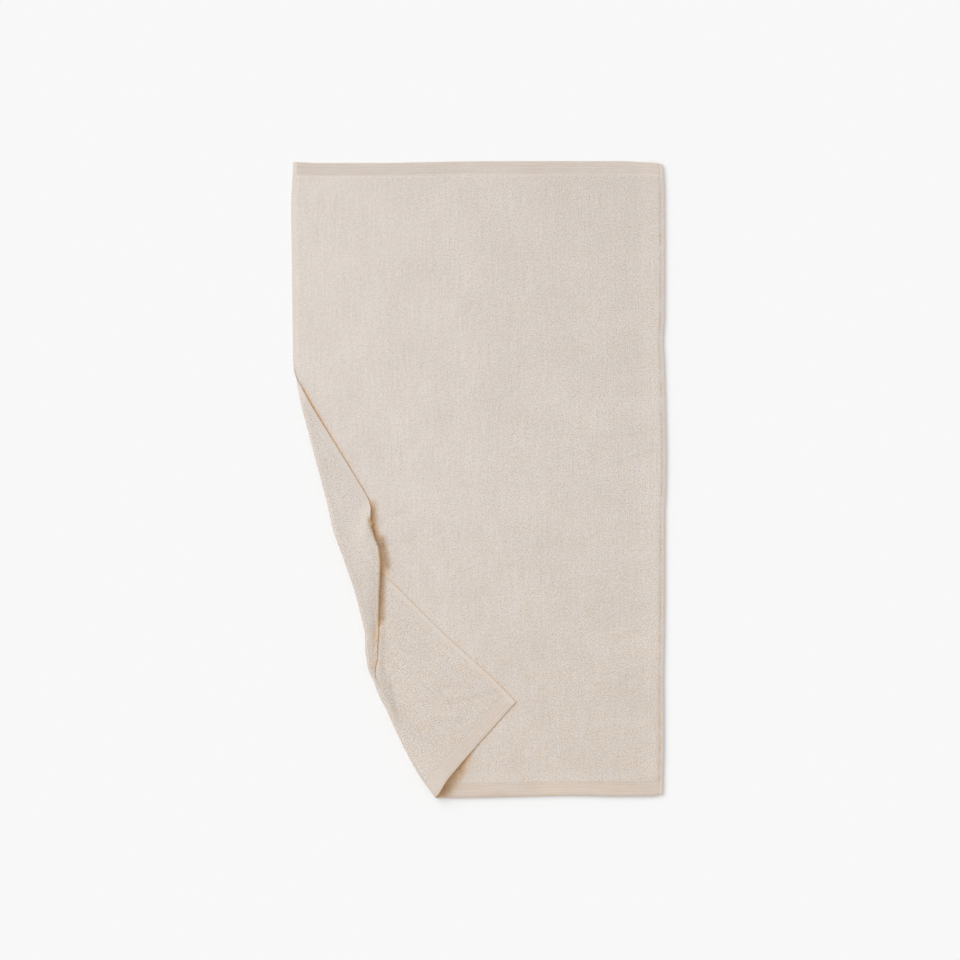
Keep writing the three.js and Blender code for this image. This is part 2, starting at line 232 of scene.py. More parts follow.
FOLD_ROWS = (
    FoldRow(y=225, x=-351, rise=4, reach=20, soft=6, spread=0),
    FoldRow(y=178, x=-343.5, rise=8, reach=26, soft=7, spread=1),
    FoldRow(y=131, x=-334.5, rise=10.5, reach=34, soft=8, spread=4),
    FoldRow(y=55, x=-315, rise=11.5, reach=42, soft=8, spread=5),
    FoldRow(y=-39, x=-288.5, rise=13, reach=52, soft=9, spread=6),
    FoldRow(y=-94, x=-271.5, rise=16, reach=52, soft=9, spread=8.5),
    FoldRow(y=-152, x=-254.5, rise=18, reach=50, soft=9, spread=3.5),
    FoldRow(y=-228, x=-231, rise=18, reach=42, soft=9, spread=-1),
    FoldRow(y=-285, x=-217.5, rise=18, reach=32, firm=3, soft=9, spread=0.5),
    FoldRow(y=-332, x=-213, rise=17.5, reach=24, firm=4, soft=9, spread=13.5),
    FoldRow(y=-354, x=-205.5, rise=17.2, reach=22, firm=4, soft=9, spread=15.5),
    FoldRow(y=-379, x=-196, rise=17, reach=21, firm=4, soft=9, spread=12),
    FoldRow(y=-436, x=-174, rise=16, reach=22, firm=4, soft=9, spread=4.5),
    FoldRow(y=-493, x=-147.5, rise=18, crest=8, reach=40, soft=10, spread=3.5),
    FoldRow(y=-549, x=-117.5, rise=23, crest=16, reach=60, soft=12, spread=-0.5),
    FoldRow(y=-600, x=-82.5, rise=27, crest=24, reach=66, soft=13, spread=-12),
)

LIP_ROWS = (
    LipRow(y=-30, push=0, rise=0, droop=1, width=9),
    LipRow(y=-50, push=-6, rise=-3, droop=1, width=9),
    LipRow(y=-80, push=-18.5, rise=-3, droop=0.9, width=10),
    LipRow(y=-109, push=-11.5, rise=-3, droop=0.5, width=11),
    LipRow(y=-134, push=-2.5, rise=-1.5, droop=0.1, width=13),
    LipRow(y=-162, push=-0.5, rise=-3, width=13),
    LipRow(y=-228, push=-4.5, rise=-3.2, width=14),
    LipRow(y=-266, push=-5.5, rise=-4, width=15),
    LipRow(y=-304, push=-3, rise=-5, width=14),
    LipRow(y=-341, push=3, rise=-4.5, width=14),
    LipRow(y=-417, push=0, rise=0, width=12),
)

LEFT_EDGE = (
    EdgeRow(-600, 0),
    EdgeRow(-557, 0.6),
    EdgeRow(-526, 0.3),
    EdgeRow(-496, -1.2),
    EdgeRow(-466, -2.8),
    EdgeRow(-436, -4.4),
    EdgeRow(-405, -5.4),
    EdgeRow(-375, -5.1),
    EdgeRow(-345, -3.8),
    EdgeRow(-315, -2),
    EdgeRow(-285, 0),
    EdgeRow(-250, 1),
    EdgeRow(180, 0),
    EdgeRow(250, 1.2),
    EdgeRow(320, 2),
    EdgeRow(420, 3.2),
    EdgeRow(520, 4.5),
    EdgeRow(560, 2.5),
    EdgeRow(600, 0.5),
)
RIGHT_EDGE = (
    EdgeRow(-600, -2),
    EdgeRow(-470, 0),
    EdgeRow(-380, -0.5),
    EdgeRow(-300, 0.5),
    EdgeRow(-190, 1.5),
    EdgeRow(-60, 1.5),
    EdgeRow(-20, 3.5),
    EdgeRow(50, 4.5),
    EdgeRow(110, 3.5),
    EdgeRow(170, 2.2),
    EdgeRow(225, 0.5),
    EdgeRow(262, -1.5),
    EdgeRow(310, 1.2),
    EdgeRow(430, 1.5),
    EdgeRow(560, 0.8),
    EdgeRow(600, -2),
)
TOP_EDGE = (
    EdgeRow(-350, 0),
    EdgeRow(-300, -2),
    EdgeRow(-180, -2),
    EdgeRow(-80, 0),
    EdgeRow(30, 1.5),
    EdgeRow(260, 1.5),
    EdgeRow(325, -1),
    EdgeRow(350, -5),
)
BOTTOM_EDGE = (
    EdgeRow(-350, 0),
    EdgeRow(-70, 1.5),
    EdgeRow(0, 0.5),
    EdgeRow(90, -1.5),
    EdgeRow(170, -3),
    EdgeRow(260, -1.5),
    EdgeRow(325, -1.5),
    EdgeRow(350, -6),
)

# Creases of the cloth as it lies, with painted shade (shade) and mostly painted light and shade
# (tone) in its colour.
MARKS = {
    Layer.BASE: (
        # Painted shade beside the lip and in the hem's gap, painted light where the real shadow
        # there is too dark, a darker stretch of the bottom hem, and shallow creases with a little
        # painted shade.
        Mark(-197, -45, -195, -98, width=5, shade=0.5),
        Mark(-182, -112, -172, -164, width=6.4, shade=0.8),
        Mark(-187, -112, -187, -160, width=3, tone=0.4),
        Mark(-201, -94, -184, -126, width=5, shade=0.5),
        Mark(-62, -592, -31, -551, width=7, shade=0.35),
        Mark(-76, -594, -44, -553, width=7, tone=0.9),
        Mark(262, -580, 334, -578, width=14, tone=-0.2),
        Mark(144, 556, 229, 452, width=8, height=-0.6, tone=-0.05),
        Mark(248, 74, 335, 89, width=6, height=-0.6, tone=-0.05),
        Mark(229, 18, 324, 46, width=6, height=-0.6, tone=-0.05),
        Mark(258, -304, 333, -281, width=6, height=-0.6, tone=-0.05),
        Mark(248, -398, 328, -357, width=6, height=-0.6, tone=-0.05),
        Mark(-181, -77, -120, -54, width=5, height=-0.6, tone=-0.05),
        Mark(-171, -124, -122, -115, width=5, height=-0.6, tone=-0.05),
    ),
    Layer.TURNED: (
        # Painted shade beside the lip, painted light where its real shadow is too dark, painted
        # shade on its slope, a pressed crease, and creases and wrinkles with painted shade.
        Mark(-180.7, -168, -182, -262, width=5.7, shade=0.7),
        Mark(-182, -262, -186, -330, width=5.7, shade=0.1),
        Mark(-184, -240, -194, -366, width=5, tone=0.4),
        Mark(-187.5, -168, -189, -290, width=3, tone=0.4),
        Mark(-197, -115, -199, -300, width=6, tone=-0.08),
        Mark(-186, -282, -190, -362, width=7, press=0.6, level=11),
        Mark(-201, -296, -201, -345, width=7, tone=0.25),
        Mark(-188, -375, -184, -402, width=8, tone=0.2),
        Mark(-181, -345, -163, -394, width=3.5, height=-1, tone=-0.1),
        Mark(-163, -394, -150, -459, width=3.5, height=-1, tone=-0.1),
        # Painted highlight along the turned selvedge.
        Mark(-173, -190, -152, -213, width=3, tone=0.5),
        Mark(-54, -423, -5, -413, width=4, height=-0.8, shade=0.07),
        Mark(-9, -411, 40, -400, width=4, height=-0.8, shade=0.07),
        Mark(-73, -398, -31, -387, width=4, height=-0.6, shade=0.06),
        # A soft ridge with painted light, and painted light where the roll by the hem faces the
        # light.
        Mark(-88, -444, -43, -447, width=5, height=1.2, tone=0.1),
        Mark(-84, -546, -84, -546, width=34, tone=0.15),
    ),
}


class TableCurve:
    """One column of a table, read at any place by a curve that doesn't overshoot its rows."""

    def __init__(self, rows: Sequence[object], place: str, column: str) -> None:
        """Takes the rows in either order.

        Args:
            rows: the table's rows.
            place: the name of the column that says where each row is.
            column: the name of the column to read.
        """
        ordered = sorted(rows, key=lambda row: getattr(row, place))
        self.at = np.array([getattr(row, place) for row in ordered], float)
        self.values = np.array([getattr(row, column) for row in ordered], float)
        slopes = np.diff(self.values) / np.diff(self.at)
        before, after = slopes[:-1], slopes[1:]
        level = before * after <= 0
        total = np.where(level, 1.0, before + after)
        inner = np.where(level, 0.0, 2 * before * after / total)
        self.tangents = np.concatenate([slopes[:1], inner, slopes[-1:]])

    def __call__(self, where: Array | float) -> Array:
        """Returns the column's value at each place.

        Args:
            where: the places.

        Returns:
            The values, of the same shape.
        """
        x = np.clip(where, self.at[0], self.at[-1])
        i = np.clip(np.searchsorted(self.at, x, side="left") - 1, 0, len(self.at) - 2)
        span = self.at[i + 1] - self.at[i]
        s = (x - self.at[i]) / span
        start = (1 + 2 * s) * (1 - s) ** 2 * self.values[i]
        start += s * (1 - s) ** 2 * span * self.tangents[i]
        end = s * s * (3 - 2 * s) * self.values[i + 1]
        end -= s * s * (1 - s) * span * self.tangents[i + 1]
        return start + end


@dataclass(frozen=True)
class ClothSizes:
    """The sizes of the flat cloth, in mm."""

    width: float = 700
    length: float = 1200
    pile_thickness: float = 3.2
    band_thickness: float = 2.2
    selvedge_thickness: float = 2.0
    band_width: float = 26
    band_step: float = 2.4
    selvedge_width: float = 8
    selvedge_step: float = 2
    edge_round: float = 0.6
    thinnest_rim: float = 0.01
    pile_unevenness: float = 0.35

    @property
    def half_width(self) -> float:
        """Half of the cloth's width."""
        return self.width / 2

    @property
    def half_length(self) -> float:
        """Half of the cloth's length."""
        return self.length / 2

    def to_edges(self, x: Array, y: Array) -> tuple[Array, Array]:
        """Returns how far points of the flat cloth are from its nearer end and its nearer side."""
        return self.half_length - np.abs(y), self.half_width - np.abs(x)


@dataclass
class TurnedCorner:
    """The fold of the lower left corner and the pleat in it.

    It carries flat cloth to where it lies. Sizes are in mm.
    """

    cloth: ClothSizes
    base_level: float = 1.6
    flap_level: float = 5.6
    layer_pitch: float = 6.3
    fold_start_y: float = 202
    root_x: float = -181.5
    root_y: float = -412.5
    lower_fold_angle: float = math.radians(66.9)
    lip_angle: float = math.radians(90.5)
    lip_reach: float = 26
    pleat_soft: float = 4
    pleat_growth: float = 140
    pleat_grid_reach: float = 9
    pleat_end_reach: float = 46
    tuck_spread: float = TURN / 6
    beside_pleat: tuple[float, float] = (4, 20)
    along_pleat: tuple[float, float] = (20, 50)
    outer_steepness: float = 0.6
    spread_reach: float = 45
    pushed_level: tuple[float, float] = (2, 7)
    corner_y: float = -421
    corner_skew: float = 0.05
    skew_start_x: float = -200
    skew_reach: float = 150
    disc_points: int = 120
    rounding_margin: float = 16

    def __post_init__(self) -> None:
        """Works out the creases' angles and reads the tables."""
        half_width = self.cloth.half_width
        rise, run = self.fold_start_y - self.root_y, self.root_x + half_width
        self.upper_fold_angle = math.atan2(rise, run)
        self.upper_fold = math.pi - self.upper_fold_angle
        self.lower_fold = TURN - self.lower_fold_angle
        self.pleat_angle = self.upper_fold_angle - self.lower_fold_angle
        self.lip_crease = 2 * self.upper_fold - self.lip_angle
        self.tuck_crease = self.lip_crease + self.pleat_angle
        self.pleat_middle = self.lip_crease + self.pleat_angle / 2
        columns = ("x", "rise", "crest", "reach", "firm", "soft", "spread")
        self.fold = {name: TableCurve(FOLD_ROWS, "y", name) for name in columns}
        columns = ("push", "rise", "droop", "width")
        self.lip = {name: TableCurve(LIP_ROWS, "y", name) for name in columns}
        lip_end = self._on_selvedge(self.lip_crease, self.lip_angle)
        tuck_end = self._on_selvedge(self.tuck_crease, self.lip_angle + self.pleat_angle)
        along = np.subtract(tuck_end, lip_end)
        self.lip_end = lip_end
        self.end_line = along / np.linalg.norm(along)

    def _on_selvedge(self, crease: float, lying_angle: float) -> tuple[float, float]:
        """Returns where a crease that meets the left selvedge lies, in mm.

        Args:
            crease: the crease's angle round the root in the flat cloth.
            lying_angle: its angle as it lies.

        Returns:
            The x and y of the crease's end as it lies.
        """
        far = (-self.cloth.half_width - self.root_x) / math.cos(crease)
        return self.root_x + far * math.cos(lying_angle), self.root_y + far * math.sin(lying_angle)

    def round_root(self, x: Array, y: Array) -> tuple[Array, Array]:
        """Returns the distance and the angle of points of the flat cloth from the pleat's root."""
        across, along = x - self.root_x, y - self.root_y
        return np.hypot(across, along), np.mod(np.arctan2(along, across), TURN)

    def _fold_lift(self, x: Array, y: Array) -> Array:
        """Returns how far the fold lifts the turned cloth above a layer that lies flat.

        Args:
            x: where the cloth lies, across.
            y: where the cloth lies, along.

        Returns:
            The lift in mm.
        """
        inward = (x - self.fold["x"](y)) * math.sin(self.lower_fold_angle)
        foot = y - inward * math.cos(self.lower_fold_angle)
        from_crest = np.maximum(inward, 0) - self.fold["crest"](foot)
        steepness = np.where(from_crest < 0, self.outer_steepness, 1.0)
        away = np.abs(from_crest / self.fold["reach"](foot))
        share = np.exp(-steepness * away ** self.fold["firm"](foot))
        return (self.fold["rise"](foot) - self.flap_level) * share

    def _flap_height(self, x: Array, y: Array, far: Array, turn: Array, lying: Array) -> Array:
        """Returns the height of each layer of the turned part.

        Args:
            x: where the cloth lies, across.
            y: where the cloth lies, along.
            far: its distance from the pleat's root.
            turn: its angle round the root in the flat cloth.
            lying: its angle round the root as it lies.

        Returns:
            The height of the middle of the cloth.
        """
        grown = smooth(far / self.pleat_growth)
        by_fold = self._fold_lift(x, y)
        under = turn > self.tuck_crease
        tucked = np.where(under, smooth(lying / self.tuck_spread), 1.0)
        low = self.flap_level + by_fold * (1 - grown * tucked)
        past = (x - self.lip_end[0]) * self.end_line[1] - (y - self.lip_end[1]) * self.end_line[0]
        carried = grown * (1 - smooth(past / self.pleat_end_reach))
        stack = 2 * self.layer_pitch
        top = self.flap_level + stack * (1 - (1 - carried) * (1 - by_fold / stack))
        from_lip = far * np.sin(np.abs(turn - self.lip_crease))
        sunk = bell(from_lip / self.pleat_grid_reach) * grown
        middle = blend(low, top, (1 - self.lip["droop"](y)) / 2) - sunk
        edge = top + grown * self.lip["rise"](y) * bell(from_lip / self.lip["width"](y))
        return np.where(under, low, np.where(turn > self.lip_crease, middle, edge))

    def _sharply_folded(self, x: Array, y: Array) -> Array:
        """Finds where points of the flat cloth go if every crease is sharp.

        Args:
            x: the x of each point in the flat cloth, in mm.
            y: its y.

        Returns:
            The points as rows of x, y, z.
        """
        far, turn = self.round_root(x, y)
        lying = self.lip_angle + self.pleat_angle - (turn - self.tuck_crease)
        lying = np.where(turn <= self.tuck_crease, self.lip_angle + (turn - self.lip_crease), lying)
        lying = np.where(turn <= self.lip_crease, 2 * self.upper_fold - turn, lying)
        lie_x = self.root_x + far * np.cos(lying)
        lie_y = self.root_y + far * np.sin(lying)
        skewed = smooth((lie_x - self.skew_start_x) / self.skew_reach)
        skew = self.corner_skew * np.abs(lie_y - self.corner_y) * skewed
        lie_x = lie_x + np.where(turn > self.tuck_crease, skew, 0.0)
        height = self._flap_height(lie_x, lie_y, far, turn, lying)
        flat = (turn <= self.upper_fold) | (turn >= self.lower_fold)
        turned = np.stack([lie_x, lie_y, height], 1)
        unmoved = np.stack([x, y, np.full_like(x, self.base_level)], 1)
        return np.where(flat[:, None], unmoved, turned)

    def _bend_size(self, x: Array, y: Array) -> Array:
        """Finds the size of the bend, which is wide along the fold and tight along the pleat.

        Args:
            x: the x of each point in the flat cloth, in mm.
            y: its y.

        Returns:
            The radius that each point is rounded over, in mm.
        """
        far, turn = self.round_root(x, y)
        from_middle = np.clip(turn - self.pleat_middle, -TURN / 4, TURN / 4)
        from_pleat = far * (np.abs(np.sin(from_middle)) - math.sin(self.pleat_angle / 2))
        beside = smooth((from_pleat - self.beside_pleat[0]) / self.beside_pleat[1])
        wide = np.maximum(beside, 1 - smooth((far - self.along_pleat[0]) / self.along_pleat[1]))
        return blend(self.pleat_soft, self.fold["soft"](y), wide)

    def is_plain(self, x: Array, y: Array) -> Array:
        """Returns True for points of the flat cloth that no fold reaches.

        Args:
            x: the x of each point in the flat cloth, in mm.
            y: its y.

        Returns:
            A True or False for each point.
        """
        far, turn = self.round_root(x, y)
        on_base = (turn <= self.upper_fold) | (turn >= self.lower_fold)
        from_upper = far * np.sin(np.clip(self.upper_fold - turn, 0, TURN / 4))
        from_lower = far * np.sin(np.clip(turn - self.lower_fold, 0, TURN / 4))
        clear = np.where(turn < math.pi, from_upper, from_lower) > self.rounding_margin
        return on_base & clear

    def is_turned(self, x: Array, y: Array) -> Array:
        """Returns True for points of the flat cloth that are turned over."""
        turn = self.round_root(x, y)[1]
        return (turn > self.upper_fold) & (turn < self.lower_fold)

    def place(self, x: Array, y: Array) -> Array:
        """Finds where points of the flat cloth lie, with the folds rounded.

        Only cloth that a fold reaches is moved, and in the solid all of it is. So where the fold's
        edge is pushed, the bottom layer is stretched beside it, under the turned corner, and at
        the bottom tip it doubles back by a few millimetres.

        Args:
            x: the x of each point in the flat cloth, in mm.
            y: its y.

        Returns:
            The points as rows of x, y, z in mm.
        """
        points = np.stack([x, y, np.full_like(x, self.base_level)], 1)
        bent = ~self.is_plain(x, y)
        bx, by = x[bent], y[bent]
        size = self._bend_size(bx, by)
        total = np.zeros((len(bx), 3))
        for index in range(self.disc_points):
            radius = math.sqrt((index + 0.5) / self.disc_points)
            angle = index * GOLDEN_ANGLE
            total += self._sharply_folded(
                bx + size * radius * math.cos(angle), by + size * radius * math.sin(angle)
            )
        folded = total / self.disc_points
        inward = np.maximum(folded[:, 0] - self.fold["x"](folded[:, 1]), 0)
        folded[:, 0] -= self.fold["spread"](folded[:, 1]) * bell(inward / self.spread_reach)
        lip_x = self.root_x + (folded[:, 1] - self.root_y) / math.tan(self.lip_angle)
        lifted = smooth((folded[:, 2] - self.pushed_level[0]) / self.pushed_level[1])
        pushed = self.lip["push"](folded[:, 1]) * bell((folded[:, 0] - lip_x) / self.lip_reach)
        folded[:, 0] += pushed * lifted
        points[bent] = folded
        return points

    def crease_x(self, angle: float, y: float) -> float:
        """Returns where a crease of the flat cloth crosses a row at y."""
        return self.root_x + (y - self.root_y) / math.tan(angle)


@dataclass(frozen=True)
class Swell:
    """A soft wave in the pile's thickness, by its lengths across and along the cloth in mm."""

    across: float
    along: float
    phase: float

    def height(self, x: Array, y: Array) -> Array:
        """Returns the wave's height, from -1 to 1."""
        return np.sin(TURN * (x / self.across + y / self.along) + self.phase)


@dataclass(frozen=True)
class GridSizes:
    """How the sheet's grid is divided, in mm."""

    columns: int = 146
    row_cell: float = 4.1
    plain_cell: float = 6.2
    flap_cell: float = 4.4
    crease_cell: float = 1.9
    fold_reach: float = 20
    pleat_reach: float = 14
    start_reach: float = 90
    sample_step: float = 1
    edge_steps: tuple[float, ...] = (0, 0.1, 0.3, 0.6)


@dataclass(frozen=True)
class PaintedShadeSizes:
    """How much shade is painted into the cloth's colour where its own folds keep the light off.

    Rays go out from each point of the mesh as far as reach, in mm, and cloth nearer than near
    counts less. The painted shade starts at the share start of blocked rays and is full from the
    share full on. Only points left of east and below north are looked at. Of these, cloth that
    faces away from the light, towards away_azimuth, gets painted shade too.
    """

    rays: int = 24
    reach: float = 60
    near: float = 10
    lift: float = 0.5
    start: float = 0.07
    full: float = 0.22
    east: float = 150
    north: float = 260
    away_azimuth: float = math.radians(-42)
    away_start: float = 0.12
    away_full: float = 0.55


@dataclass
class ClothSheet:
    """The sheet of terry: its grid, its two skins and its mesh.

    The pinch is where the pleat's layers press the cloth thinner. The rims of the turned part
    droop, and the rims on the right and at the bottom curl up. Shade is painted into the colour of
    the turned cloth along the fold. Sizes are in mm.
    """

    cloth: ClothSizes = field(default_factory=ClothSizes)
    grid: GridSizes = field(default_factory=GridSizes)
    painted_shade: PaintedShadeSizes = field(default_factory=PaintedShadeSizes)
    edge_reach: float = 90
    resting_reach: float = 3
    normal_keep: float = 2
    grain: float = 0.22
    grain_seed: int = 7
    swells: tuple[Swell, ...] = (Swell(310, 520, 0.4), Swell(-190, 260, 2.1), Swell(140, -430, 4.0))
    pinch_x: float = -212
    pinch_y: float = -355
    pinch_reach: float = 60
    pinch_share: float = 0.5
    rim_droop: float = 1.3
    rim_droop_reach: float = 22
    curl: float = 5
    curl_reach: float = 50
    # Painted shade on the turned cloth along the fold's edge.
    painted_rim_shade: float = -0.15
    painted_rim_shade_reach: float = 24
    painted_rim_shade_end: float = -400
    painted_rim_shade_growth: float = 60
    stitch_from_end: float = 19

    def __post_init__(self) -> None:
        """Makes the fold and reads the edges' tables."""
        self.corner = TurnedCorner(self.cloth)
        tables = (LEFT_EDGE, RIGHT_EDGE, TOP_EDGE, BOTTOM_EDGE)
        self.edges = [TableCurve(rows, "at", "out") for rows in tables]

    def row_places(self) -> Array:
        """Returns the y of each row, from the top edge down.

        Returns:
            The rows' places in mm.
        """
        half = self.cloth.half_length
        band = half - self.cloth.band_width
        step = self.cloth.band_step
        near_end = sorted({half - d for d in self.grid.edge_steps} | {half - self.stitch_from_end})
        marks = near_end + [band - step / 2, band, band + step / 2]
        marks = sorted(marks + [-mark for mark in marks], reverse=True)
        rows = [marks[0]]
        for mark in marks[1:]:
            count = max(1, round((rows[-1] - mark) / self.grid.row_cell))
            start = rows[-1]
            rows += [start + (mark - start) * (i + 1) / count for i in range(count)]
        return np.array(rows)

    def _cells_wanted(self, x: Array, y: float) -> Array:
        """Returns the cells for each millimetre wanted along a row.

        Args:
            x: places along the row, in the flat cloth.
            y: the row's own place.

        Returns:
            The wish at each place.
        """
        corner, grid = self.corner, self.grid
        above = y > corner.root_y
        fold_x = corner.crease_x(corner.upper_fold if above else corner.lower_fold, y)
        started = smooth((corner.fold_start_y + grid.start_reach - y) / grid.start_reach)
        grown = smooth((y - corner.root_y) / corner.pleat_growth)
        creases = np.maximum.reduce([
            started * bell((x - fold_x) / grid.fold_reach),
            grown * bell((x - corner.crease_x(corner.lip_crease, y)) / grid.pleat_reach),
            grown * bell((x - corner.crease_x(corner.tuck_crease, y)) / grid.pleat_reach),
        ])
        on_flap = np.where(x < fold_x, started, 0)
        return 1 / grid.plain_cell + on_flap / grid.flap_cell + creases / grid.crease_cell

    def column_places(self, y: float) -> Array:
        """Returns the x of each column of a row, from the left selvedge to the right one.

        Args:
            y: the row's place.

        Returns:
            The columns' places in mm.
        """
        half = self.cloth.half_width
        step_at, half_step = half - self.cloth.selvedge_width, self.cloth.selvedge_step / 2
        rim = [half - d for d in self.grid.edge_steps] + [step_at + half_step]
        inner = step_at - half_step
        places = np.arange(-inner, inner + self.grid.sample_step / 2, self.grid.sample_step)
        middles = (places[1:] + places[:-1]) / 2
        totals = np.concatenate([[0], np.cumsum(self._cells_wanted(middles, y))])
        goals = np.linspace(0, totals[-1], self.grid.columns)
        return np.concatenate([[-x for x in rim], np.interp(goals, totals, places), rim[::-1]])

    def uneven_edges(self, x: Array, y: Array) -> tuple[Array, Array]:
        """Returns points of the flat cloth moved so that its edges are as uneven as they lie.

        Args:
            x: the x of each point in the flat cloth, in mm.
            y: its y.

        Returns:
            The moved x and y.
        """
        half_width, half_length = self.cloth.half_width, self.cloth.half_length
        left, right, top, bottom = self.edges
        near_left = smooth(1 - (x + half_width) / self.edge_reach)
        near_right = smooth(1 - (half_width - x) / self.edge_reach)
        near_top = smooth(1 - (half_length - y) / self.edge_reach)
        near_bottom = smooth(1 - (y + half_length) / self.edge_reach)
        moved_x = x + right(y) * near_right - left(y) * near_left
        return moved_x, y + top(x) * near_top - bottom(x) * near_bottom

    def pile_share(self, x: Array, y: Array) -> Array:
        """Returns 1 on the pile and 0 on the flat-woven bands and selvedges.

        Args:
            x: the x of each point in the flat cloth, in mm.
            y: its y.

        Returns:
            The share at each point.
        """
        cloth = self.cloth
        from_end, from_side = cloth.to_edges(x, y)
        past_band = smooth((from_end - cloth.band_width) / cloth.band_step + 0.5)
        past_selvedge = smooth((from_side - cloth.selvedge_width) / cloth.selvedge_step + 0.5)
        return past_band * past_selvedge

    def thickness(self, x: Array, y: Array) -> Array:
        """Returns the cloth's thickness, with soft swells in the pile and rounded rims, in mm.

        Args:
            x: the x of each point in the flat cloth, in mm.
            y: its y.

        Returns:
            The thickness at each point.
        """
        cloth = self.cloth
        swell = sum(wave.height(x, y) for wave in self.swells)
        count = len(self.swells)
        pile = cloth.pile_thickness - cloth.pile_unevenness * smooth((swell + count) / (2 * count))
        from_end, from_side = cloth.to_edges(x, y)
        in_band = from_end < cloth.band_width
        woven = np.where(in_band, cloth.band_thickness, cloth.selvedge_thickness)
        from_pinch = np.hypot(x - self.pinch_x, y - self.pinch_y)
        pressed = 1 - self.pinch_share * bell(from_pinch / self.pinch_reach)
        to_rim = np.clip(np.minimum(from_end, from_side) / cloth.edge_round, cloth.thinnest_rim, 1)
        rim = np.sqrt(1 - (1 - to_rim) ** 2)
        return rim * pressed * blend(woven, pile, self.pile_share(x, y))

    def _skins(self, flat_x: Array, flat_y: Array) -> dict[Skin, Array]:
        """Returns the points of both skins in mm.

        Args:
            flat_x: the grid's x in the flat cloth, rows by columns.
            flat_y: the grid's y, of the same shape.

        Returns:
            For each skin an array of rows by columns by 3.
        """
        shape = flat_x.shape
        x, y = self.uneven_edges(flat_x.ravel(), flat_y.ravel())
        middle = self.corner.place(x, y).reshape(*shape, 3)
        half = self.thickness(flat_x, flat_y) / 2
        right, left = neighbours(middle, 1)
        below, above = neighbours(middle, 0)
        normal = unit(np.cross(right - left, above - below))
        beside = (*neighbours(normal, 1), *neighbours(normal, 0))
        normal = unit(sum(beside, normal * self.normal_keep))
        resting = 1 - smooth((middle[..., 2] - self.corner.base_level) / self.resting_reach)
        # Cloth rests at half its thickness, or half that of its row's middle where that is less.
        rest_half = np.minimum(half, self.thickness(0 * flat_x, flat_y) / 2)
        lowered = middle.copy()
        lowered[..., 2] += self._mark(flat_x, flat_y, middle)
        from_rim = np.minimum(self.cloth.half_length + flat_y, self.cloth.half_width + flat_x)
        droop = self.rim_droop * smooth(1 - from_rim / self.rim_droop_reach)
        lowered[..., 2] -= (self.corner.base_level - rest_half) * resting + droop * (1 - resting)
        to_curl = np.minimum(self.cloth.half_length + flat_y, self.cloth.half_width - flat_x)
        lowered[..., 2] += self.curl * smooth(1 - to_curl / self.curl_reach) * resting
        draw = np.random.default_rng(self.grain_seed)
        pile = self.pile_share(flat_x, flat_y)
        skins = {}
        for skin in Skin:
            loops = draw.normal(0, self.grain, shape).clip(-2 * self.grain, 2 * self.grain) * pile
            offset = skin.value * (half + loops)
            points = lowered + normal * offset[..., None]
            points[..., 2] = np.maximum(points[..., 2], 0)
            skins[skin] = points
        return skins

    def _mark(self, flat_x: Array, flat_y: Array, middle: Array) -> Array:
        """Works out the grid's painted shade, painted light and tone, and its marks' lift in mm.

        Args:
            flat_x: the grid's x in the flat cloth, rows by columns.
            flat_y: the grid's y, of the same shape.
            middle: where the middle of the cloth lies, rows by columns by 3.

        Returns:
            The lift of each grid point.
        """
        x, y = middle[..., 0], middle[..., 1]
        self.turned = self.corner.is_turned(flat_x, flat_y).astype(float)
        shares = {Layer.TURNED: self.turned, Layer.BASE: 1 - self.turned}
        lift, shade = np.zeros_like(x), np.zeros_like(x)
        # Painted shade on the turned cloth along the fold's edge, fading in and out along it.
        on_fold = smooth((self.corner.fold_start_y - y) / self.painted_rim_shade_growth)
        on_fold *= smooth((y - self.painted_rim_shade_end) / self.painted_rim_shade_growth)
        tone = self.painted_rim_shade * bell((x - self.corner.fold["x"](y)) / self.painted_rim_shade_reach) * on_fold
        for layer, marks in MARKS.items():
            for mark in marks:
                share = mark.share(x, y) * shares[layer]
                lift += (mark.height + mark.press * (mark.level - middle[..., 2])) * share
                shade += mark.shade * share
                tone += mark.tone * share
        self.shade, self.tone = shade, tone
        return lift

    def build(self, centre: Vector) -> bpy.types.Object:
        """Makes the sheet's mesh.

        Args:
            centre: the middle of the solid's box, in metres, over which the sheet is centred.

        Returns:
            The sheet's object, at the origin.
        """
        flat_y = self.row_places()
        flat_x = np.array([self.column_places(y) for y in flat_y])
        flat_y = np.repeat(flat_y[:, None], flat_x.shape[1], 1)
        self.skins = self._skins(flat_x, flat_y)
        every = np.concatenate([self.skins[skin].reshape(-1, 3) for skin in Skin])
        shift = (every.max(0) + every.min(0)) / 2 - np.array(centre) / MM
        shift[2] = 0
        for skin in Skin:
            self.skins[skin] -= shift
        self.flat_x, self.flat_y = flat_x, flat_y
        rows, columns = flat_x.shape
        index = np.arange(rows * columns).reshape(rows, columns)
        quads = self._quads(index, rows * columns)
        mesh = bpy.data.meshes.new("towel_cloth")
        points = (every - shift) * MM
        mesh.from_pydata(points.tolist(), [], quads.tolist())
        flat = np.stack([flat_x, flat_y], 2).reshape(-1, 2) * MM
        self._add_maps(mesh, quads, flat)
        mesh.polygons.foreach_set("use_smooth", [True] * len(mesh.polygons))
        mesh.validate()
        mesh.update()
        self._add_painted_shade(mesh, quads)
        layers = {PAINTED_LIGHT_AND_TONE_LAYER: self.tone, TURNED_LAYER: self.turned, SHADE_LAYER: self.shade}
        for name, values in layers.items():
            self._add_layer(mesh, name, values)
        return add_object("towel_cloth", mesh)

